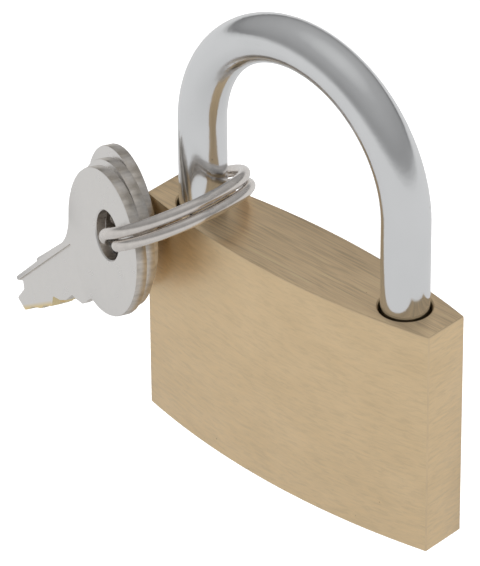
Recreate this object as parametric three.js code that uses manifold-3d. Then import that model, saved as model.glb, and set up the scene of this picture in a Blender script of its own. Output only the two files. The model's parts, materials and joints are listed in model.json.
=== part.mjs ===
// A small solid brass padlock with arched faces, a round shackle, a four pin cylinder
// and three keys on a split ring. Millimetres, +Z up. The lock is shut, its bolts are
// drawn back, and the origin is the point inside the shackle where the lock hangs.
import * as THREE from "three";
import { mergeVertices } from "three/addons/utils/BufferGeometryUtils.js";
import Module from "manifold-3d";

const wasm = await Module();
wasm.setup();

// ---- sizes, with heights measured up from the base of the body ----
const WIDTH = 40;
const HEIGHT = 27.2;
const END_THICKNESS = 5.4;
const CROWN_THICKNESS = 9.9;
const LEG_X = 14.3;
const ROD_R = 2.6;
const LEG_BORE_R = 2.85;
const STRAIGHT = 10.1;
const ARCH_RISE = 15.1;
const HANG_Z = HEIGHT + STRAIGHT + ARCH_RISE - ROD_R;
const TOE_FLOOR = 18;
const TOE_END = 18.3;
const HEEL_FLOOR = 3;
const HEEL_END = 11.6;
const NECK_R = 1.95;
const NECK_LOW = 13.8;
const NECK_HIGH = 25.4;
const BOLT_Z = 20;
const BOLT_R = 1.65;
const BOLT_BORE_R = 1.8;
const BOLT_INNER = 2;
const BOLT_NOSE = 11.35;
const NOTCH_X = 12.95;
const PLUG_R = 3.9;
const PLUG_BORE_R = 4.05;
const PLUG_TOP = 16.2;
const CAM_TOP = 22;
const PLUG_BORE_TOP = 22.4;
const PIN_COUNT = 4;
const PIN_PITCH = 3.3;
const FIRST_PIN_Z = 3.5;
const PIN_R = 1;
const PIN_BORE_R = 1.12;
const CAP_INNER = 15;
const KEY_PIN_LENGTHS = [2.4, 3.2, 2.8, 3.3];
const SHEAR = 3.7;
const SMALL_PIN_R = 0.55;
const SMALL_PIN_BORE_R = 0.65;
const GROOVE_Z = 1.5;
const GROOVE_FLOOR_R = 2.8;
const RETAINER_X = LEG_X + NECK_R + SMALL_PIN_R + 0.1;
const RETAINER_Z = 24.3;
const BACK_AT_RETAINER = 3.25;

const finish = {
  brass: { color: 0xc4ac82, roughness: 0.42, metalness: 1 },
  brass_bright: { color: 0xd0b47c, roughness: 0.32, metalness: 1 },
  chrome: { color: 0xc9cacc, roughness: 0.1, metalness: 1 },
  nickel: { color: 0xc8c3be, roughness: 0.3, metalness: 1 },
  ring_steel: { color: 0xb9b1aa, roughness: 0.22, metalness: 1 },
  spring_steel: { color: 0x8f9296, roughness: 0.35, metalness: 1 },
};

// ---- helpers ----
const lock = new THREE.Group();
lock.position.z = -HANG_Z;

function addPiece(name, look, geometry, parent = lock) {
  const mesh = new THREE.Mesh(geometry, new THREE.MeshStandardMaterial(finish[look]));
  mesh.name = name;
  parent.add(mesh);
  return mesh;
}

function closed(geometry) {
  const bare = geometry.clone();
  bare.deleteAttribute("normal");
  bare.deleteAttribute("uv");
  return mergeVertices(bare, 1e-4);
}

function toSolid(geometry) {
  const bare = closed(geometry);
  const mesh = new wasm.Mesh({
    numProp: 3,
    vertProperties: new Float32Array(bare.attributes.position.array),
    triVerts: new Uint32Array(bare.index.array),
  });
  mesh.merge();
  return new wasm.Manifold(mesh);
}

function toGeometry(solid) {
  const mesh = solid.getMesh();
  const geometry = new THREE.BufferGeometry();
  geometry.setAttribute("position", new THREE.BufferAttribute(mesh.vertProperties, 3));
  geometry.setIndex(new THREE.BufferAttribute(mesh.triVerts, 1));
  return geometry;
}

function cut(geometry, tools) {
  let solid = toSolid(geometry);
  for (const tool of tools) solid = solid.subtract(toSolid(tool));
  return toGeometry(solid);
}

// A cylinder along Z from low to high.
function rod(radius, low, high, x = 0, y = 0, sides = 24) {
  const geometry = new THREE.CylinderGeometry(radius, radius, high - low, sides);
  geometry.rotateX(Math.PI / 2);
  return geometry.translate(x, y, (low + high) / 2);
}

// A cylinder along X between two x values.
function crossRod(radius, fromX, toX, y, z, sides = 16) {
  const geometry = new THREE.CylinderGeometry(radius, radius, Math.abs(toX - fromX), sides);
  geometry.rotateZ(Math.PI / 2);
  return geometry.translate((fromX + toX) / 2, y, z);
}

// A cylinder along Y between two y values.
function depthRod(radius, fromY, toY, x, z, sides = 10) {
  const geometry = new THREE.CylinderGeometry(radius, radius, toY - fromY, sides);
  return geometry.translate(x, (fromY + toY) / 2, z);
}

// A turned piece about Z from a list of [radius, height] points that starts and ends on the axis.
function turned(points, sides = 24) {
  const profile = points.map(([r, z]) => new THREE.Vector2(r, z));
  return new THREE.LatheGeometry(profile, sides).rotateX(Math.PI / 2);
}

// A coil spring about Z from low to high.
function coil(radius, wire, low, high, turns, steps, sides = 6) {
  const points = [];
  for (let i = 0; i <= steps; i++) {
    const t = i / steps;
    const angle = t * turns * 2 * Math.PI;
    const z = low + wire + (high - low - 2 * wire) * t;
    points.push(new THREE.Vector3(radius * Math.cos(angle), radius * Math.sin(angle), z));
  }
  return swept(points, wire, steps, sides);
}

// A round wire along a smooth open curve through the points.
function swept(points, wire, steps, sides) {
  const section = new THREE.Shape();
  for (let i = 0; i < sides; i++) {
    const angle = (i / sides) * 2 * Math.PI;
    const go = i === 0 ? "moveTo" : "lineTo";
    section[go](wire * Math.cos(angle), wire * Math.sin(angle));
  }
  section.closePath();
  const path = new THREE.CatmullRomCurve3(points, false, "centripetal");
  return new THREE.ExtrudeGeometry(section, { steps, extrudePath: path });
}

// ---- body ----
const SAGITTA = (CROWN_THICKNESS - END_THICKNESS) / 2;
const FACE_R = ((WIDTH / 2) ** 2 + SAGITTA ** 2) / (2 * SAGITTA);

function bodyOutline() {
  const half = WIDTH / 2;
  const reach = Math.asin(half / FACE_R);
  const centre = CROWN_THICKNESS / 2 - FACE_R;
  const shape = new THREE.Shape();
  shape.moveTo(half, -END_THICKNESS / 2);
  shape.lineTo(half, END_THICKNESS / 2);
  shape.absarc(0, centre, FACE_R, Math.PI / 2 - reach, Math.PI / 2 + reach, false);
  shape.lineTo(-half, -END_THICKNESS / 2);
  shape.absarc(0, -centre, FACE_R, 1.5 * Math.PI - reach, 1.5 * Math.PI + reach, false);
  return shape;
}

function pinZ(i) {
  return FIRST_PIN_Z + PIN_PITCH * i;
}

function makeBody() {
  const block = new THREE.ExtrudeGeometry(bodyOutline(), {
    depth: HEIGHT,
    bevelEnabled: false,
    curveSegments: 20,
  });
  const past = WIDTH / 2 + 1;
  const bores = [
    rod(LEG_BORE_R, TOE_FLOOR, HEIGHT + 1, -LEG_X),
    rod(LEG_BORE_R, HEEL_FLOOR, HEIGHT + 1, LEG_X),
    rod(PLUG_BORE_R, -1, PLUG_BORE_TOP, 0, 0, 40),
    crossRod(BOLT_BORE_R, -past, LEG_X, 0, BOLT_Z),
    crossRod(SMALL_PIN_BORE_R, -past, 0, 0, GROOVE_Z, 10),
  ];
  for (let i = 0; i < PIN_COUNT; i++) {
    bores.push(crossRod(PIN_BORE_R, -past, 0, 0, pinZ(i), 12));
  }
  bores.push(depthRod(SMALL_PIN_BORE_R, -2.3, 6, RETAINER_X, RETAINER_Z));
  return cut(block, bores);
}

// ---- shackle ----
function shacklePath() {
  const points = [];
  const legSteps = 3;
  const archSteps = 28;
  const archFoot = HEIGHT + STRAIGHT;
  for (let i = 0; i < legSteps; i++) {
    const z = TOE_END + ((archFoot - TOE_END) * i) / legSteps;
    points.push(new THREE.Vector3(-LEG_X, 0, z));
  }
  for (let i = 0; i <= archSteps; i++) {
    const angle = Math.PI * (1 - i / archSteps);
    const z = archFoot + ARCH_RISE * Math.sin(angle);
    points.push(new THREE.Vector3(LEG_X * Math.cos(angle), 0, z));
  }
  for (let i = 1; i <= legSteps; i++) {
    const z = archFoot - ((archFoot - HEEL_END) * i) / legSteps;
    points.push(new THREE.Vector3(LEG_X, 0, z));
  }
  return points;
}

function makeShackle() {
  const bar = swept(shacklePath(), ROD_R, 56, 20);
  const far = ROD_R + 3;
  const collar = cut(rod(far, NECK_LOW, NECK_HIGH, LEG_X), [
    rod(NECK_R, NECK_LOW - 1, NECK_HIGH + 1, LEG_X),
  ]);
  const notch = new THREE.BoxGeometry(4, 8, 4.2);
  const toeNotch = notch.clone().translate(-NOTCH_X + 2, 0, BOLT_Z);
  const heelNotch = notch.clone().translate(NOTCH_X + 0.1 - 2, 0, BOLT_Z);
  return cut(bar, [collar, toeNotch, heelNotch]);
}

// ---- cylinder: plug, cam, pins ----
const KEYWAY = { low: -3.2, high: 3.1, width: 1.6 };

// The keyway and pins lie along Y while the lock is undone.
function makePlug() {
  const plug = turned([[0, 0.1], [PLUG_R, 0.1], [PLUG_R, PLUG_TOP], [0, PLUG_TOP]], 40);
  const length = KEYWAY.high - KEYWAY.low;
  const slot = new THREE.BoxGeometry(KEYWAY.width, length, PLUG_TOP - 1.2 + 1);
  slot.translate(0, (KEYWAY.high + KEYWAY.low) / 2, (PLUG_TOP - 1.2) / 2 - 0.5);
  const low = GROOVE_Z - SMALL_PIN_BORE_R;
  const high = GROOVE_Z + SMALL_PIN_BORE_R;
  const groove = cut(rod(PLUG_R + 1, low, high), [rod(GROOVE_FLOOR_R, low - 1, high + 1)]);
  const bores = [slot, groove];
  for (let i = 0; i < PIN_COUNT; i++) bores.push(plugBore(pinZ(i)));
  return cut(plug, bores);
}

function plugBore(z) {
  const bore = new THREE.CylinderGeometry(PIN_BORE_R, PIN_BORE_R, PLUG_R + 1, 12);
  return bore.translate(0, -(PLUG_R + 1) / 2, z);
}

function makeCam() {
  const shape = new THREE.Shape();
  shape.absellipse(0, 0, 1.55, 3.2, 0, 2 * Math.PI);
  const cam = new THREE.ExtrudeGeometry(shape, {
    depth: CAM_TOP - PLUG_TOP - 0.1,
    bevelEnabled: false,
    curveSegments: 14,
  });
  return cam.translate(0, 0, PLUG_TOP + 0.1);
}

function makeKeyPin(i) {
  const length = KEY_PIN_LENGTHS[i];
  const pin = turned([[0, 0], [0.45, 0], [PIN_R, 0.6], [PIN_R, length], [0, length]], 12);
  pin.rotateX(Math.PI / 2);
  return pin.translate(0, length - SHEAR, pinZ(i));
}

function makeBolt(side) {
  const length = BOLT_NOSE - BOLT_INNER;
  const nose = [[BOLT_R, length - 0.5], [BOLT_R - 0.5, length], [0, length]];
  const bolt = turned([[0, 0], [BOLT_R, 0], ...nose], 16);
  bolt.rotateY((side * Math.PI) / 2);
  return bolt.translate(side * BOLT_INNER, 0, BOLT_Z);
}

function addCylinder() {
  addPiece("cylinder_plug", "brass_bright", makePlug());
  addPiece("plug_cam", "spring_steel", makeCam());
  addPiece("toe_bolt", "spring_steel", makeBolt(-1));
  addPiece("heel_bolt", "spring_steel", makeBolt(1));
  for (let i = 0; i < PIN_COUNT; i++) {
    const n = i + 1;
    const z = pinZ(i);
    const start = -PLUG_R - 0.1;
    const driverEnd = -9;
    addPiece(`key_pin_${n}`, "brass_bright", makeKeyPin(i));
    addPiece(`driver_pin_${n}`, "brass_bright", crossRod(PIN_R, start, driverEnd, 0, z, 12));
    const spring = coil(0.75, 0.17, 0, 4.9, 5, 40, 5);
    spring.rotateY(-Math.PI / 2).translate(driverEnd - 0.05, 0, z);
    addPiece(`pin_spring_${n}`, "spring_steel", spring);
    const cap = crossRod(PIN_BORE_R - 0.05, -CAP_INNER, -WIDTH / 2 + 0.05, 0, z, 12);
    addPiece(`chamber_cap_${n}`, "brass", cap);
  }
}

function addRetainers() {
  const face = -WIDTH / 2 + 0.05;
  const back = BACK_AT_RETAINER;
  const shacklePin = depthRod(SMALL_PIN_R, -2.1, back, RETAINER_X, RETAINER_Z);
  addPiece("shackle_retaining_pin", "spring_steel", shacklePin);
  const plugPin = crossRod(SMALL_PIN_R, face, -GROOVE_FLOOR_R - 0.15, 0, GROOVE_Z, 10);
  addPiece("plug_retaining_pin", "spring_steel", plugPin);
  const borePlug = crossRod(BOLT_BORE_R - 0.05, face, -LEG_X - LEG_BORE_R - 0.1, 0, BOLT_Z);
  addPiece("cross_bore_plug", "brass", borePlug);
  const spring = coil(2.1, 0.32, HEEL_FLOOR + 0.05, HEEL_END - 0.05, 6, 84);
  addPiece("shackle_spring", "spring_steel", spring.translate(LEG_X, 0, 0));
}

// ---- split ring ----
// It hoops round the toe leg and over the corner of the body, and leans out to the keys.
const RING = {
  centre: new THREE.Vector3(-16.3, -2.12, HEIGHT - 0.67),
  normal: new THREE.Vector3(-0.525, 0.012, 0.851).normalize(),
  far: new THREE.Vector3(0.523, 0.793, 0.312),
  radius: 8.1,
  wire: 0.68,
  coilGap: 0.72,
  start: 180,
};

// Heights across the ring: one coil, a short crossing, then the other coil.
function makeRing() {
  const far = RING.far.clone().projectOnPlane(RING.normal).normalize();
  const side = new THREE.Vector3().crossVectors(RING.normal, far);
  const points = [];
  const crossing = 22;
  for (let turn = crossing + 4; turn <= 720 - crossing - 4; turn += 8) {
    const angle = THREE.MathUtils.degToRad(RING.start + turn);
    const step = THREE.MathUtils.smoothstep(turn, 360 - crossing, 360 + crossing);
    const point = RING.centre.clone();
    point.addScaledVector(far, RING.radius * Math.cos(angle));
    point.addScaledVector(side, RING.radius * Math.sin(angle));
    point.addScaledVector(RING.normal, RING.coilGap * (2 * step - 1));
    points.push(point);
  }
  return swept(points, RING.wire, 96, 8);
}

// ---- keys ----
// Each is drawn flat about the middle of its bow, the blade along +X with its cuts below,
// then moved so that the ring hole is at the origin.
const KEY = {
  thick: 1.3,
  bowR: 8.1,
  holeX: -1.72,
  holeY: 0.28,
  holeR: 2.7,
  recess: 0.25,
  recessFrom: 8,
  recessTop: 1.9,
};

// The blade's edge from the shoulder at the bow, along the cuts, round the tip and back.
const BLADE_EDGE = [
  [9.8, -4.5], [11.3, -3.4], [11.7, -3], [13.7, -3.1], [15.2, -2.7], [16.7, -1.9],
  [17.7, -2.8], [19.7, -2.2], [20.7, -2.3], [22.2, -1.8], [22.9, -1.5], [23.9, -1.6],
  [25, -1.4], [26, 0.3], [23.7, 0.7], [23.4, 1.6], [24.4, 1.9], [24.4, 2.4],
  [17.9, 2.5], [17.8, 2.8], [10.4, 2.6],
];

function keyOutline() {
  const shape = new THREE.Shape();
  const top = Math.asin(5.2 / KEY.bowR);
  const bottom = Math.asin(-4.7 / KEY.bowR);
  shape.absarc(0, 0, KEY.bowR, top, 2 * Math.PI + bottom, false);
  for (const [x, y] of BLADE_EDGE) shape.lineTo(x, y);
  shape.quadraticCurveTo(7.8, 2.7, KEY.bowR * Math.cos(top), 5.2);
  const hole = new THREE.Path();
  hole.absarc(KEY.holeX, KEY.holeY, KEY.holeR, 0, 2 * Math.PI, true);
  shape.holes.push(hole);
  return shape;
}

function makeKey() {
  const plate = new THREE.ExtrudeGeometry(keyOutline(), {
    depth: KEY.thick,
    bevelEnabled: false,
    curveSegments: 14,
  });
  plate.translate(0, 0, -KEY.thick / 2);
  const length = 20;
  const from = KEY.recessFrom + length / 2;
  const web = new THREE.BoxGeometry(length, 7, 1);
  web.translate(from, KEY.recessTop - 3.5, -KEY.thick / 2 - 0.5 + KEY.recess);
  const groove = new THREE.BoxGeometry(length, 1.2, 1);
  groove.translate(from, 0.9, KEY.thick / 2 + 0.5 - KEY.recess);
  return cut(plate, [web, groove]).translate(-KEY.holeX, -KEY.holeY, 0);
}

// Where each key hangs: the ring hole, the way its plate faces and how far its blade droops.
const KEY_PLACES = [
  { hole: [-20.94, -7.08, -3.68], yaw: 18.9, lean: 5.3, droop: 44.5 },
  { hole: [-21.94, -4.7, -4.2], yaw: 20, lean: 5, droop: 46.5 },
  { hole: [-23.63, -2.24, -4.26], yaw: 22.1, lean: 2.8, droop: 50 },
];

function placeKey(mesh, place) {
  const yaw = THREE.MathUtils.degToRad(place.yaw);
  const lean = THREE.MathUtils.degToRad(place.lean);
  const droop = THREE.MathUtils.degToRad(place.droop);
  const face = new THREE.Vector3(
    -Math.sin(yaw) * Math.cos(lean),
    -Math.cos(yaw) * Math.cos(lean),
    Math.sin(lean),
  );
  const level = new THREE.Vector3(face.y, -face.x, 0).normalize();
  const rise = new THREE.Vector3().crossVectors(face, level);
  if (rise.z < 0) rise.negate();
  const along = level.clone().multiplyScalar(Math.cos(droop));
  along.addScaledVector(rise, -Math.sin(droop));
  const back = level.clone().multiplyScalar(Math.sin(droop));
  back.addScaledVector(rise, Math.cos(droop));
  const out = new THREE.Vector3().crossVectors(along, back);
  mesh.quaternion.setFromRotationMatrix(new THREE.Matrix4().makeBasis(along, back, out));
  mesh.position.set(place.hole[0], place.hole[1], HEIGHT + place.hole[2]);
}

addPiece("body", "brass", makeBody());
addPiece("shackle", "chrome", makeShackle());
addCylinder();
addRetainers();
addPiece("split_ring", "ring_steel", makeRing());
KEY_PLACES.forEach((place, i) => placeKey(addPiece(`key_${i + 1}`, "nickel", makeKey()), place));

export default lock;
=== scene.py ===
# Looks for the brass padlock with three keys. Sizes are in millimetres, with heights
# measured up from the base of the body, and become metres in the row frame in to_row().
import json
import math

import bmesh
import bpy
from mathutils import Matrix, Vector


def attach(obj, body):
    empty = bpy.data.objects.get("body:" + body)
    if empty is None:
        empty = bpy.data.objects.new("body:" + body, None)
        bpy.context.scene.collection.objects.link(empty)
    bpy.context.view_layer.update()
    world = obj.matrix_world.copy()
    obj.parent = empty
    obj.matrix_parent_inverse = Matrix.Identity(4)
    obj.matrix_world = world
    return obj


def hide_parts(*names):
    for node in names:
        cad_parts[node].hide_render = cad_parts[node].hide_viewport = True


MM = 0.001
HANG_Z = 49.8
WIDTH = 40
HEIGHT = 27.2
END_THICKNESS = 5.4
CROWN_THICKNESS = 9.9
LEG_X = 14.3
ROD_R = 2.6
STRAIGHT = 10.1
ARCH_RISE = 15.1
EDGE_BEVEL = 0.14

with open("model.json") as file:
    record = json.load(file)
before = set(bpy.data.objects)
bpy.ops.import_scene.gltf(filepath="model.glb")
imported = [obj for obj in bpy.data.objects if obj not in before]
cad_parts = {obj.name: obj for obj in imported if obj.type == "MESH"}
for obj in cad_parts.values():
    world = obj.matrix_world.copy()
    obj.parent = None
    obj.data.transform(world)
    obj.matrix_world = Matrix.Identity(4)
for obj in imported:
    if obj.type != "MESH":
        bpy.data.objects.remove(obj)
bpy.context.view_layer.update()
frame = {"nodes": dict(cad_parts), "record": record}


def to_row(x, y, z):
    return Vector((x, y, z - HANG_Z)) * MM


# ---- materials ----
class Surface:
    """A principled material with short helpers to add its nodes."""

    def __init__(self, name, color, roughness, metallic=1.0):
        self.material = bpy.data.materials.new(name)
        self.material.use_nodes = True
        self.nodes = self.material.node_tree.nodes
        self.links = self.material.node_tree.links
        self.shader = self.nodes["Principled BSDF"]
        self.shader.inputs["Base Color"].default_value = (*color, 1)
        self.shader.inputs["Roughness"].default_value = roughness
        self.shader.inputs["Metallic"].default_value = metallic

    def noise(self, scale, detail=4.0, roughness=0.55, distortion=0.0):
        """Noise in the object's own coordinates; scale is per metre along each axis."""
        coordinates = self.nodes.new("ShaderNodeTexCoord")
        mapping = self.nodes.new("ShaderNodeMapping")
        mapping.inputs["Scale"].default_value = scale
        texture = self.nodes.new("ShaderNodeTexNoise")
        texture.inputs["Scale"].default_value = 1
        texture.inputs["Detail"].default_value = detail
        texture.inputs["Roughness"].default_value = roughness
        texture.inputs["Distortion"].default_value = distortion
        self.links.new(coordinates.outputs["Object"], mapping.inputs["Vector"])
        self.links.new(mapping.outputs["Vector"], texture.inputs["Vector"])
        return texture.outputs["Fac"]

    def along(self, direction):
        """How far a point lies along a direction, in the object's own metres."""
        coordinates = self.nodes.new("ShaderNodeTexCoord")
        node = self.nodes.new("ShaderNodeVectorMath")
        node.operation = "DOT_PRODUCT"
        node.inputs[1].default_value = direction
        self.links.new(coordinates.outputs["Object"], node.inputs[0])
        return node.outputs["Value"]

    def times(self, first, second):
        node = self.nodes.new("ShaderNodeMath")
        node.operation = "MULTIPLY"
        self.links.new(first, node.inputs[0])
        self.links.new(second, node.inputs[1])
        return node.outputs["Value"]

    def paint(self, color):
        """One colour as an output, for mixing."""
        node = self.nodes.new("ShaderNodeRGB")
        node.outputs[0].default_value = (*color, 1)
        return node.outputs[0]

    def ramp(self, value, stops):
        node = self.nodes.new("ShaderNodeValToRGB")
        elements = node.color_ramp.elements
        while len(elements) < len(stops):
            elements.new(0.5)
        for element, (position, color) in zip(elements, stops):
            element.position = position
            element.color = (*color, 1)
        self.links.new(value, node.inputs["Fac"])
        return node.outputs["Color"]

    def spread(self, value, low, high, start=0.3, end=0.7):
        node = self.nodes.new("ShaderNodeMapRange")
        node.inputs["From Min"].default_value = start
        node.inputs["From Max"].default_value = end
        node.inputs["To Min"].default_value = low
        node.inputs["To Max"].default_value = high
        self.links.new(value, node.inputs["Value"])
        return node.outputs["Result"]

    def mix(self, factor, first, second, mode="MIX"):
        node = self.nodes.new("ShaderNodeMix")
        node.data_type = "RGBA"
        node.blend_type = mode
        if isinstance(factor, float):
            node.inputs["Factor"].default_value = factor
        else:
            self.links.new(factor, node.inputs["Factor"])
        self.links.new(first, node.inputs["A"])
        self.links.new(second, node.inputs["B"])
        return node.outputs["Result"]

    def color(self, value):
        self.links.new(value, self.shader.inputs["Base Color"])

    def roughness(self, value):
        self.links.new(value, self.shader.inputs["Roughness"])

    def bump(self, height, strength, distance):
        node = self.nodes.new("ShaderNodeBump")
        node.inputs["Strength"].default_value = strength
        node.inputs["Distance"].default_value = distance
        self.links.new(height, node.inputs["Height"])
        previous = self.shader.inputs["Normal"].links
        if previous:
            self.links.new(previous[0].from_socket, node.inputs["Normal"])
        self.links.new(node.outputs["Normal"], self.shader.inputs["Normal"])


def tinted(color, factor):
    return tuple(channel * factor for channel in color)


def brushed_brass(name, color, streak, roughness, strength, contrast):
    """Ground brass: short streaks along one way, soft clouds of tone and rare small pits."""
    surface = Surface(name, color, roughness)
    streaks = surface.noise(streak, detail=4.0, roughness=0.62, distortion=0.5)
    fine = surface.noise([3 * s for s in streak], detail=3.0)
    clouds = surface.noise((180, 180, 260), detail=3.0)
    pits = surface.noise((1900, 1900, 1900), detail=1.0)
    dark = tinted(color, 1 - contrast)
    light = tinted(color, 1 + 0.6 * contrast)
    tone = surface.ramp(streaks, [(0.32, dark), (0.5, color), (0.68, light)])
    veil = surface.ramp(clouds, [(0.3, (0.95, 0.945, 0.93)), (0.7, (1.0, 1.0, 1.0))])
    tone = surface.mix(1.0, tone, veil, "MULTIPLY")
    spots = surface.ramp(pits, [(0.17, (0.5, 0.44, 0.36)), (0.2, (1.0, 1.0, 1.0))])
    surface.color(surface.mix(1.0, tone, spots, "MULTIPLY"))
    surface.roughness(surface.spread(streaks, roughness - 0.06, roughness + 0.08))
    surface.bump(streaks, strength, 0.00004)
    surface.bump(fine, strength * 0.5, 0.00002)
    return surface.material


def polished_chrome():
    color = (0.83, 0.84, 0.85)
    surface = Surface("polished_chrome", color, 0.1)
    smear = surface.noise((260, 260, 120), detail=4.0)
    scratches = surface.noise((2500, 2500, 500), detail=3.0, distortion=0.6)
    waves = surface.noise((700, 700, 420), detail=4.0)
    pits = surface.noise((1300, 1300, 1000), detail=2.0)
    tone = surface.ramp(smear, [(0.3, tinted(color, 0.95)), (0.7, color)])
    spots = surface.ramp(pits, [(0.2, (0.5, 0.48, 0.46)), (0.25, (1.0, 1.0, 1.0))])
    surface.color(surface.mix(1.0, tone, spots, "MULTIPLY"))
    surface.roughness(surface.spread(smear, 0.11, 0.2))
    surface.bump(waves, 0.4, 0.00006)
    surface.bump(scratches, 0.08, 0.00002)
    return surface.material


def satin_nickel():
    color = (0.87, 0.85, 0.825)
    surface = Surface("satin_nickel", color, 0.3)
    mottle = surface.noise((500, 500, 500), detail=5.0)
    lines = surface.noise((300, 5000, 300), detail=3.0)
    tone = surface.ramp(mottle, [(0.3, tinted(color, 0.93)), (0.7, color)])
    near_teeth = surface.spread(surface.along((-0.19, 1, 0)), 1, 0, -0.0066, -0.0061)
    near_tip = surface.spread(surface.along((1, 0, 0)), 0, 1, 0.0185, 0.0195)
    worn = surface.times(near_teeth, near_tip)
    surface.color(surface.mix(worn, tone, surface.paint((0.9, 0.72, 0.38))))
    surface.roughness(surface.spread(mottle, 0.25, 0.4))
    surface.bump(mottle, 0.2, 0.00006)
    surface.bump(lines, 0.12, 0.00002)
    return surface.material


def stamped_nickel_and_hole_shade():
    """The sheared rim of a stamped key: darker, with marks across the plate. On the walls of the
    key hole the same darker look is painted shade.
    """
    color = (0.75, 0.71, 0.665)
    surface = Surface("stamped_nickel_and_hole_shade", color, 0.36)
    marks = surface.noise((1600, 1600, 500), detail=4.0)
    patches = surface.noise((420, 420, 700), detail=2.0)
    tone = surface.ramp(marks, [(0.32, tinted(color, 0.78)), (0.68, tinted(color, 1.12))])
    veil = surface.ramp(patches, [(0.35, (0.8, 0.77, 0.72)), (0.65, (1.0, 1.0, 1.0))])
    surface.color(surface.mix(1.0, tone, veil, "MULTIPLY"))
    surface.roughness(surface.spread(patches, 0.26, 0.42))
    surface.bump(marks, 0.5, 0.00008)
    return surface.material


def ring_plate():
    color = (0.84, 0.795, 0.755)
    surface = Surface("ring_plate", color, 0.22)
    drawn = surface.noise((900, 900, 900), detail=4.0)
    surface.color(surface.ramp(drawn, [(0.3, tinted(color, 0.86)), (0.7, color)]))
    surface.roughness(surface.spread(drawn, 0.14, 0.28))
    surface.bump(drawn, 0.2, 0.00004)
    return surface.material


def turned_metal(name, color, roughness):
    """A small lathe-turned piece, with fine tool rings."""
    surface = Surface(name, color, roughness)
    rings = surface.noise((600, 600, 9000), detail=2.0)
    clouds = surface.noise((500, 500, 500), detail=3.0)
    surface.color(surface.ramp(clouds, [(0.3, tinted(color, 0.85)), (0.7, color)]))
    surface.roughness(surface.spread(clouds, roughness - 0.06, roughness + 0.08))
    surface.bump(rings, 0.3, 0.00003)
    return surface.material


BRASS = (0.89, 0.69, 0.435)
SAWN = (0.965, 0.745, 0.482)
LOOKS = {
    "brass": brushed_brass("brushed_brass", BRASS, (560, 560, 2800), 0.42, 0.38, 0.1),
    "brass_top": brushed_brass("sawn_brass", SAWN, (130, 3400, 130), 0.4, 0.7, 0.22),
    "brass_edge": turned_metal("worn_brass_edge", (0.9, 0.7, 0.45), 0.4),
    "brass_bright": turned_metal("turned_brass", (0.84, 0.64, 0.33), 0.3),
    "bare_brass": turned_metal("cut_brass", (0.86, 0.72, 0.42), 0.3),
    "chrome": polished_chrome(),
    "nickel": satin_nickel(),
    # The darker rim look, which on the walls of the key hole is painted shade.
    "nickel_rim": stamped_nickel_and_hole_shade(),
    "ring_steel": ring_plate(),
    "spring_steel": turned_metal("hardened_steel", (0.56, 0.57, 0.59), 0.33),
}


def dress(obj, *looks):
    if obj.data.materials:
        obj.data.materials.clear()
    for look in looks:
        obj.data.materials.append(LOOKS[look])


# ---- mesh helpers ----
def link(name, mesh):
    obj = bpy.data.objects.new(name, mesh)
    bpy.context.scene.collection.objects.link(obj)
    return obj


def prism(outline, low, high, bevel, edge_material=0):
    """An upright prism on a closed outline, its outer edges bevelled."""
    bm = bmesh.new()
    bottom = [bm.verts.new((x, y, low)) for x, y in outline]
    top = [bm.verts.new((x, y, high)) for x, y in outline]
    bm.faces.new(list(reversed(bottom)))
    bm.faces.new(top)
    for i in range(len(outline)):
        j = (i + 1) % len(outline)
        bm.faces.new((bottom[i], bottom[j], top[j], top[i]))
    bmesh.ops.recalc_face_normals(bm, faces=bm.faces)
    sharp = [e for e in bm.edges if e.calc_face_angle(0) > math.radians(50)]
    bmesh.ops.bevel(
        bm, geom=sharp, offset=bevel, segments=2, profile=0.5, affect="EDGES",
        clamp_overlap=True, material=edge_material,
    )
    mesh = bpy.data.meshes.new("prism")
    bm.to_mesh(mesh)
    bm.free()
    return mesh


def add_level_edges(mesh, heights):
    """Level edges round a mesh keep the faces beside a small hole short, so they shade evenly."""
    bm = bmesh.new()
    bm.from_mesh(mesh)
    for height in heights:
        everything = [*bm.verts, *bm.edges, *bm.faces]
        bmesh.ops.bisect_plane(bm, geom=everything, plane_co=(0, 0, height), plane_no=(0, 0, 1))
    bm.to_mesh(mesh)
    bm.free()


def lathe(profile, start, direction, sides=64):
    """A closed solid turned about a line, from [radius, distance] pairs along it."""
    bm = bmesh.new()
    turn = Vector(direction).normalized().to_track_quat("Z", "Y").to_matrix()
    rings = []
    for radius, distance in profile:
        ring = []
        for i in range(sides):
            angle = 2 * math.pi * i / sides
            local = Vector((radius * math.cos(angle), radius * math.sin(angle), distance))
            ring.append(bm.verts.new(Vector(start) + turn @ local))
        rings.append(ring)
    for near, far in zip(rings, rings[1:]):
        for i in range(sides):
            j = (i + 1) % sides
            bm.faces.new((near[i], near[j], far[j], far[i]))
    bm.faces.new(list(reversed(rings[0])))
    bm.faces.new(rings[-1])
    mesh = bpy.data.meshes.new("lathe")
    bm.to_mesh(mesh)
    bm.free()
    return mesh


def bore(radius, start, direction, depth, chamfer=0.15):
    """A cutter for a hole with a chamfered mouth: start is on the face, direction goes in."""
    profile = [(radius + chamfer + 1, -1), (radius + chamfer, 0), (radius, chamfer)]
    return lathe([*profile, (radius, depth)], start, direction)


def box_mesh(low, high):
    bm = bmesh.new()
    bmesh.ops.create_cube(bm, size=1)
    size = Vector(high) - Vector(low)
    middle = (Vector(high) + Vector(low)) / 2
    for vert in bm.verts:
        vert.co = Vector(a * b for a, b in zip(vert.co, size)) + middle
    mesh = bpy.data.meshes.new("box")
    bm.to_mesh(mesh)
    bm.free()
    return mesh


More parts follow.
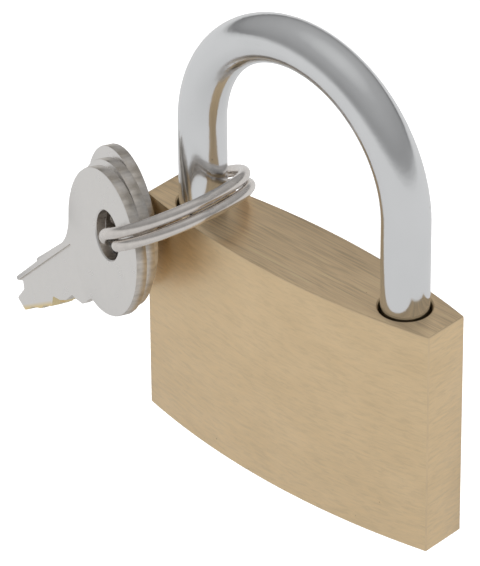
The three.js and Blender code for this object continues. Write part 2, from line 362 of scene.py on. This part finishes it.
def subtract(mesh, cutters):
    """The mesh less each cutter, as a new mesh."""
    obj = link("workpiece", mesh)
    tools = []
    for cutter in cutters:
        tool = link("cutter", cutter)
        modifier = obj.modifiers.new("cut", "BOOLEAN")
        modifier.object = tool
        modifier.operation = "DIFFERENCE"
        modifier.solver = "EXACT"
        tools.append(tool)
    depsgraph = bpy.context.evaluated_depsgraph_get()
    result = bpy.data.meshes.new_from_object(obj.evaluated_get(depsgraph))
    for used in [obj, *tools]:
        bpy.data.objects.remove(used)
    return result


def shade(mesh, angle=25):
    mesh.polygons.foreach_set("use_smooth", [True] * len(mesh.polygons))
    mesh.set_sharp_from_angle(angle=math.radians(angle))


def tube(points, radii, sides):
    """A round bar through the points. Each ring is turned least from the one before."""
    bm = bmesh.new()
    side = None
    rings = []
    for i, point in enumerate(points):
        before = points[max(i - 1, 0)]
        after = points[min(i + 1, len(points) - 1)]
        along = (after - before).normalized()
        if side is None:
            side = along.orthogonal().normalized()
        side = (side - along * side.dot(along)).normalized()
        other = along.cross(side)
        ring = []
        for k in range(sides):
            angle = 2 * math.pi * k / sides
            offset = side * math.cos(angle) + other * math.sin(angle)
            ring.append(bm.verts.new(point + offset * radii[i]))
        rings.append(ring)
    for near, far in zip(rings, rings[1:]):
        for k in range(sides):
            j = (k + 1) % sides
            bm.faces.new((near[k], near[j], far[j], far[k]))
    bm.faces.new(list(reversed(rings[0])))
    bm.faces.new(rings[-1])
    mesh = bpy.data.meshes.new("tube")
    bm.to_mesh(mesh)
    bm.free()
    return mesh


def finish_piece(name, mesh, looks, body, nodes):
    """Turns a mesh in base millimetres into a piece that stands for its CAD nodes."""
    shade(mesh)
    obj = link(name, mesh)
    dress(obj, *looks)
    obj.data.transform(Matrix.Translation(to_row(0, 0, 0)) @ Matrix.Scale(MM, 4))
    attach(obj, body)
    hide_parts(*nodes)
    return obj


# ---- body ----
LEG_BORE_R = 2.85
TOE_BORE_FLOOR = 18
HEEL_BORE_FLOOR = 3
PLUG_BORE_R = 4.05
PLUG_BORE_TOP = 22.4
CROSS_BORE_R = 1.8
BOLT_Z = 20
PIN_BORE_R = 0.65
PLUG_PIN_Z = 1.5
RETAINER = (16.9, 24.3)
RETAINER_LEVELS = (23.5, 25.1)
CHAMBER_R = 1.12
CHAMBER_HEIGHTS = [3.5 + 3.3 * i for i in range(4)]
FINE_CHAMFER = 0.05


def body_outline(steps=72):
    sagitta = (CROWN_THICKNESS - END_THICKNESS) / 2
    radius = ((WIDTH / 2) ** 2 + sagitta**2) / (2 * sagitta)
    front = []
    for i in range(steps + 1):
        x = -WIDTH / 2 + WIDTH * i / steps
        depth = math.sqrt(radius**2 - x**2) - radius + CROWN_THICKNESS / 2
        front.append((x, -depth))
    back = [(-x, -y) for x, y in front]
    return front + back


def make_body():
    """Looks: 0 the arched and end faces, 1 the sawn top and base, 2 the rounded edges."""
    block = prism(body_outline(), 0, HEIGHT, EDGE_BEVEL, 2)
    add_level_edges(block, RETAINER_LEVELS)
    up = (0, 0, 1)
    down = (0, 0, -1)
    inward = (1, 0, 0)
    forward = (0, -1, 0)
    end = -WIDTH / 2
    cutters = [
        bore(LEG_BORE_R, (-LEG_X, 0, HEIGHT), down, HEIGHT - TOE_BORE_FLOOR),
        bore(LEG_BORE_R, (LEG_X, 0, HEIGHT), down, HEIGHT - HEEL_BORE_FLOOR),
        bore(PLUG_BORE_R, (0, 0, 0), up, PLUG_BORE_TOP, 0.1),
        bore(CROSS_BORE_R, (end, 0, BOLT_Z), inward, LEG_X - end, FINE_CHAMFER),
        bore(PIN_BORE_R, (end, 0, PLUG_PIN_Z), inward, -end, FINE_CHAMFER),
        bore(PIN_BORE_R, (RETAINER[0], 3.5, RETAINER[1]), forward, 5.8, 0.0),
    ]
    for height in CHAMBER_HEIGHTS:
        cutters.append(bore(CHAMBER_R, (end, 0, height), inward, -end, FINE_CHAMFER))
    mesh = subtract(block, cutters)
    for polygon in mesh.polygons:
        level = abs(polygon.normal.z) > 0.9
        if polygon.material_index != 2:
            polygon.material_index = 1 if level else 0
    looks = ("brass", "brass_top", "brass_edge")
    return finish_piece("body_block", mesh, looks, "lock_body", ["body"])


# ---- shackle ----
TOE_END = 18.3
HEEL_END = 11.6
NECK_R = 1.95
NECK_TOP = 25.4
NECK_FOOT = 13.8
END_CHAMFER = 0.25
NECK_CHAMFER = 0.15
NOTCH_LOW = 17.9
NOTCH_HIGH = 22.1


def shackle_line():
    """Points and radii from the toe end over the arch to the end of the long leg."""
    foot = HEIGHT + STRAIGHT
    toe = TOE_END + 0.2
    points = [Vector((-LEG_X, 0, TOE_END)), Vector((-LEG_X, 0, toe))]
    radii = [ROD_R - END_CHAMFER, ROD_R]
    for i in range(1, 12):
        points.append(Vector((-LEG_X, 0, toe + (foot - toe) * i / 12)))
        radii.append(ROD_R)
    for i in range(97):
        angle = math.pi * (1 - i / 96)
        height = foot + ARCH_RISE * math.sin(angle)
        points.append(Vector((LEG_X * math.cos(angle), 0, height)))
        radii.append(ROD_R)
    leg = [
        (foot * 0.75 + NECK_TOP * 0.25, ROD_R),
        (foot * 0.25 + NECK_TOP * 0.75, ROD_R),
        (NECK_TOP + 0.2, ROD_R),
        (NECK_TOP, ROD_R - NECK_CHAMFER),
        (NECK_TOP - 0.01, NECK_R),
        (NECK_FOOT + 0.01, NECK_R),
        (NECK_FOOT, ROD_R - NECK_CHAMFER),
        (NECK_FOOT - 0.2, ROD_R),
        (HEEL_END + END_CHAMFER, ROD_R),
        (HEEL_END, ROD_R - END_CHAMFER),
    ]
    for height, radius in leg:
        points.append(Vector((LEG_X, 0, height)))
        radii.append(radius)
    return points, radii


def make_shackle():
    points, radii = shackle_line()
    bar = tube(points, radii, 48)
    notches = [
        box_mesh((-12.95, -4, NOTCH_LOW), (-8.95, 4, NOTCH_HIGH)),
        box_mesh((9.05, -4, NOTCH_LOW), (13.05, 4, NOTCH_HIGH)),
    ]
    mesh = subtract(bar, notches)
    return finish_piece("shackle_bar", mesh, ["chrome"], "shackle", ["shackle"])


# ---- split ring ----
RING_CENTRE = Vector((-16.3, -2.12, HEIGHT - 0.67))
RING_NORMAL = Vector((-0.525, 0.012, 0.851)).normalized()
RING_FAR = Vector((0.523, 0.793, 0.312))
RING_R = 8.1
WIRE_R = 0.65
COIL_GAP = 0.72
CROSSING = 22
RING_STEPS = 334


def smoothstep(value, low, high):
    t = max(0.0, min(1.0, (value - low) / (high - low)))
    return t * t * (3 - 2 * t)


def make_ring():
    """One wire wound twice. Angles are in degrees from the side that the keys hang on."""
    far = (RING_FAR - RING_NORMAL * RING_FAR.dot(RING_NORMAL)).normalized()
    side = RING_NORMAL.cross(far)
    first = CROSSING + 3
    last = 720 - CROSSING - 14
    points = []
    radii = []
    for i in range(RING_STEPS + 1):
        turn = first + (last - first) * i / RING_STEPS
        angle = math.radians(180 + turn)
        rise = COIL_GAP * (2 * smoothstep(turn, 360 - CROSSING, 360 + CROSSING) - 1)
        offset = far * (RING_R * math.cos(angle)) + side * (RING_R * math.sin(angle))
        points.append(RING_CENTRE + offset + RING_NORMAL * rise)
        radii.append(WIRE_R)
    radii[0] = radii[-1] = WIRE_R - 0.12
    mesh = tube(points, radii, 20)
    return finish_piece("ring_wire", mesh, ["ring_steel"], "ring", ["split_ring"])


# ---- keys ----
KEY_THICK = 1.3
BOW_R = 8.1
HOLE = (-1.72, 0.28)
HOLE_R = 2.7
HOLE_CHAMFER = 0.13
KEY_BEVEL = 0.24
RECESS = 0.25
BLADE_EDGE = [
    (9.8, -4.5), (11.3, -3.4), (11.7, -3), (13.7, -3.1), (15.2, -2.7), (16.7, -1.9),
    (17.7, -2.8), (19.7, -2.2), (20.7, -2.3), (22.2, -1.8), (22.9, -1.5), (23.9, -1.6),
    (25, -1.4), (26, 0.3), (23.7, 0.7), (23.4, 1.6), (24.4, 1.9), (24.4, 2.4),
    (17.9, 2.5), (17.8, 2.8), (10.4, 2.6),
]
KEY_PLACES = [
    {"hole": (-20.94, -7.08, -3.68), "yaw": 18.9, "lean": 5.3, "droop": 44.5},
    {"hole": (-21.94, -4.7, -4.2), "yaw": 20, "lean": 5, "droop": 46.5},
    {"hole": (-23.63, -2.24, -4.26), "yaw": 22.1, "lean": 2.8, "droop": 50},
]


def key_outline():
    start = math.asin(5.2 / BOW_R)
    end = 2 * math.pi - math.asin(4.7 / BOW_R)
    steps = 84
    outline = []
    for i in range(steps + 1):
        angle = start + (end - start) * i / steps
        outline.append((BOW_R * math.cos(angle), BOW_R * math.sin(angle)))
    outline += BLADE_EDGE
    foot = Vector((10.4, 2.6))
    control = Vector((7.8, 2.7))
    top = Vector((BOW_R * math.cos(start), 5.2))
    for i in range(1, 12):
        t = i / 12
        point = foot * (1 - t) ** 2 + control * (2 * t * (1 - t)) + top * t**2
        outline.append(tuple(point))
    return outline


def key_mesh():
    """Looks: 0 the plate's faces, 1 its sheared rim and the walls of its hole, where the darker
    look is painted shade, 2 the bare metal of the cuts.
    """
    half = KEY_THICK / 2
    plate = prism(key_outline(), -half, half, KEY_BEVEL, 0)
    mouth = HOLE_R + HOLE_CHAMFER
    inside = half - HOLE_CHAMFER
    profile = [
        (mouth + 1, -1 - half), (mouth, -half), (HOLE_R, -inside),
        (HOLE_R, inside), (mouth, half), (mouth + 1, half + 1),
    ]
    hole = lathe(profile, (*HOLE, 0), (0, 0, 1), 72)
    web = box_mesh((8, -5.1, -half - 1), (28, 1.9, -half + RECESS))
    groove = box_mesh((8, 0.3, half - RECESS), (28, 1.5, half + 1))
    mesh = subtract(plate, [hole, web, groove])
    # Every side wall outside the cuts takes the darker rim look. On the walls of the hole this is
    # painted shade, standing for the dark behind the hole.
    for polygon in mesh.polygons:
        middle = polygon.center
        across = abs(polygon.normal.z) < 0.5
        in_cuts = middle.x > 15.5 and middle.y < -0.5
        if across and in_cuts:
            polygon.material_index = 2
        else:
            polygon.material_index = 1 if across else 0
    mesh.transform(Matrix.Translation((-HOLE[0], -HOLE[1], 0)))
    return mesh


def key_matrix(place):
    yaw = math.radians(place["yaw"])
    lean = math.radians(place["lean"])
    droop = math.radians(place["droop"])
    face = Vector((
        -math.sin(yaw) * math.cos(lean),
        -math.cos(yaw) * math.cos(lean),
        math.sin(lean),
    ))
    level = Vector((face.y, -face.x, 0)).normalized()
    rise = face.cross(level)
    if rise.z < 0:
        rise.negate()
    along = level * math.cos(droop) - rise * math.sin(droop)
    back = level * math.sin(droop) + rise * math.cos(droop)
    turn = Matrix((along, back, along.cross(back))).transposed().to_4x4()
    hole = Vector(place["hole"]) + Vector((0, 0, HEIGHT))
    return Matrix.Translation(hole) @ turn


def make_keys():
    """Each key keeps its own plate coordinates, so that its marks follow the plate."""
    mesh = key_mesh()
    shade(mesh)
    mesh.transform(Matrix.Scale(MM, 4))
    to_base = Matrix.Translation(to_row(0, 0, 0))
    for i, place in enumerate(KEY_PLACES, start=1):
        obj = link(f"key_plate_{i}", mesh.copy())
        dress(obj, "nickel", "nickel_rim", "bare_brass")
        spot = key_matrix(place)
        spot.translation *= MM
        obj.matrix_world = to_base @ spot
        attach(obj, f"key_{i}")
        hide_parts(f"key_{i}")


# ---- carried-over CAD nodes ----
def dress_cad_nodes():
    slots = {row["node"]: row["material_slot"] for row in frame["record"]["subparts"]}
    for name, node in frame["nodes"].items():
        if not node.hide_render:
            dress(node, slots[name])
            node.data.set_sharp_from_angle(angle=math.radians(40))


# ---- floor, light and camera ----
FRONT_SKY = [
    (-1.0, 0.6), (-0.5, 0.7), (-0.08, 0.7), (0.06, 0.5), (0.16, 0.35),
    (0.3, 0.32), (0.5, 0.36), (0.8, 0.42), (1.0, 0.6),
]
BACK_SKY = [
    (-1.0, 0.6), (-0.5, 0.7), (-0.1, 0.72), (0.04, 0.7), (0.11, 0.12), (0.18, 0.27),
    (0.32, 0.36), (0.54, 0.4), (0.8, 0.45), (1.0, 0.6),
]

TO_THE_BACK = (-0.69, 0.72, 0)
FLOOR_Z = -0.13
FLOOR_HALF_SIZE = 3


def make_floor():
    bm = bmesh.new()
    bmesh.ops.create_grid(bm, x_segments=1, y_segments=1, size=FLOOR_HALF_SIZE)
    mesh = bpy.data.meshes.new("floor")
    bm.to_mesh(mesh)
    bm.free()
    floor = link("floor", mesh)
    floor.location = (0, 0, FLOOR_Z)
    surface = Surface("pale_floor", (0.9, 0.9, 0.9), 0.8, 0.0)
    surface.shader.inputs["Emission Color"].default_value = (1, 1, 1, 1)
    surface.shader.inputs["Emission Strength"].default_value = 0.45
    mesh.materials.append(surface.material)
    floor.visible_glossy = False


def sky(nodes, links, height, stops):
    """Light by direction: stops are [sine of the angle above level, brightness]."""
    ramp = nodes.new("ShaderNodeValToRGB")
    elements = ramp.color_ramp.elements
    while len(elements) < len(stops):
        elements.new(0.5)
    for element, (level, light) in zip(elements, stops):
        element.position = (level + 1) / 2
        element.color = (light, light, light, 1)
    links.new(height, ramp.inputs["Fac"])
    return ramp.outputs["Color"]


def make_world():
    """White to the eye; in reflections a pale floor and a dim room, darkest behind the lock."""
    world = bpy.data.worlds.new("studio")
    world.use_nodes = True
    nodes = world.node_tree.nodes
    links = world.node_tree.links
    nodes.clear()
    coordinates = nodes.new("ShaderNodeTexCoord")
    parts = nodes.new("ShaderNodeSeparateXYZ")
    links.new(coordinates.outputs["Generated"], parts.inputs["Vector"])
    height = nodes.new("ShaderNodeMapRange")
    height.inputs["From Min"].default_value = -1
    links.new(parts.outputs["Z"], height.inputs["Value"])
    front = sky(nodes, links, height.outputs["Result"], FRONT_SKY)
    back = sky(nodes, links, height.outputs["Result"], BACK_SKY)
    across = nodes.new("ShaderNodeVectorMath")
    across.operation = "DOT_PRODUCT"
    across.inputs[1].default_value = TO_THE_BACK
    links.new(coordinates.outputs["Generated"], across.inputs[0])
    side = nodes.new("ShaderNodeMapRange")
    side.inputs["From Min"].default_value = -0.1
    side.inputs["From Max"].default_value = 0.5
    links.new(across.outputs["Value"], side.inputs["Value"])
    both = nodes.new("ShaderNodeMix")
    both.data_type = "RGBA"
    links.new(side.outputs["Result"], both.inputs["Factor"])
    links.new(front, both.inputs["A"])
    links.new(back, both.inputs["B"])
    room = nodes.new("ShaderNodeBackground")
    links.new(both.outputs["Result"], room.inputs["Color"])
    white = nodes.new("ShaderNodeBackground")
    white.inputs["Color"].default_value = (1, 1, 1, 1)
    rays = nodes.new("ShaderNodeLightPath")
    blend = nodes.new("ShaderNodeMixShader")
    output = nodes.new("ShaderNodeOutputWorld")
    links.new(rays.outputs["Is Camera Ray"], blend.inputs["Fac"])
    links.new(room.outputs["Background"], blend.inputs[1])
    links.new(white.outputs["Background"], blend.inputs[2])
    links.new(blend.outputs["Shader"], output.inputs["Surface"])
    bpy.context.scene.world = world


def area_light(name, location, target, size, power):
    data = bpy.data.lights.new(name, "AREA")
    data.shape = "RECTANGLE"
    data.size, data.size_y = size
    data.energy = power
    light = bpy.data.objects.new(name, data)
    bpy.context.scene.collection.objects.link(light)
    light.location = location
    direction = Vector(target) - Vector(location)
    light.rotation_euler = direction.to_track_quat("-Z", "Y").to_euler()
    light.visible_glossy = False
    return light


def make_lights():
    middle = (0, 0, -0.02)
    area_light("ceiling_box", (-0.1, 0.15, 0.9), middle, (0.7, 0.5), 5)
    area_light("left_box", (-0.8, -0.5, 0.35), middle, (0.5, 0.6), 3)
    area_light("right_box", (0.8, 0.1, 0.3), middle, (0.3, 0.6), 2)


def make_camera():
    data = bpy.data.cameras.new("camera")
    data.lens = 342.65
    data.sensor_width = 36
    data.clip_start = 0.01
    camera = bpy.data.objects.new("camera", data)
    bpy.context.scene.collection.objects.link(camera)
    right = Vector((0.72706, 0.68653, -0.0074))
    up = Vector((-0.38191, 0.41336, 0.82661))
    back = Vector((0.57055, -0.59817, 0.56273))
    turn = Matrix((right, up, back)).transposed().to_4x4()
    camera.matrix_world = Matrix.Translation(to_row(316.319, -341.142, 340.152)) @ turn
    bpy.context.scene.camera = camera


make_body()
make_shackle()
make_ring()
make_keys()
dress_cad_nodes()
make_floor()
make_world()
make_lights()
make_camera()
bpy.context.scene.view_settings.view_transform = "Standard"
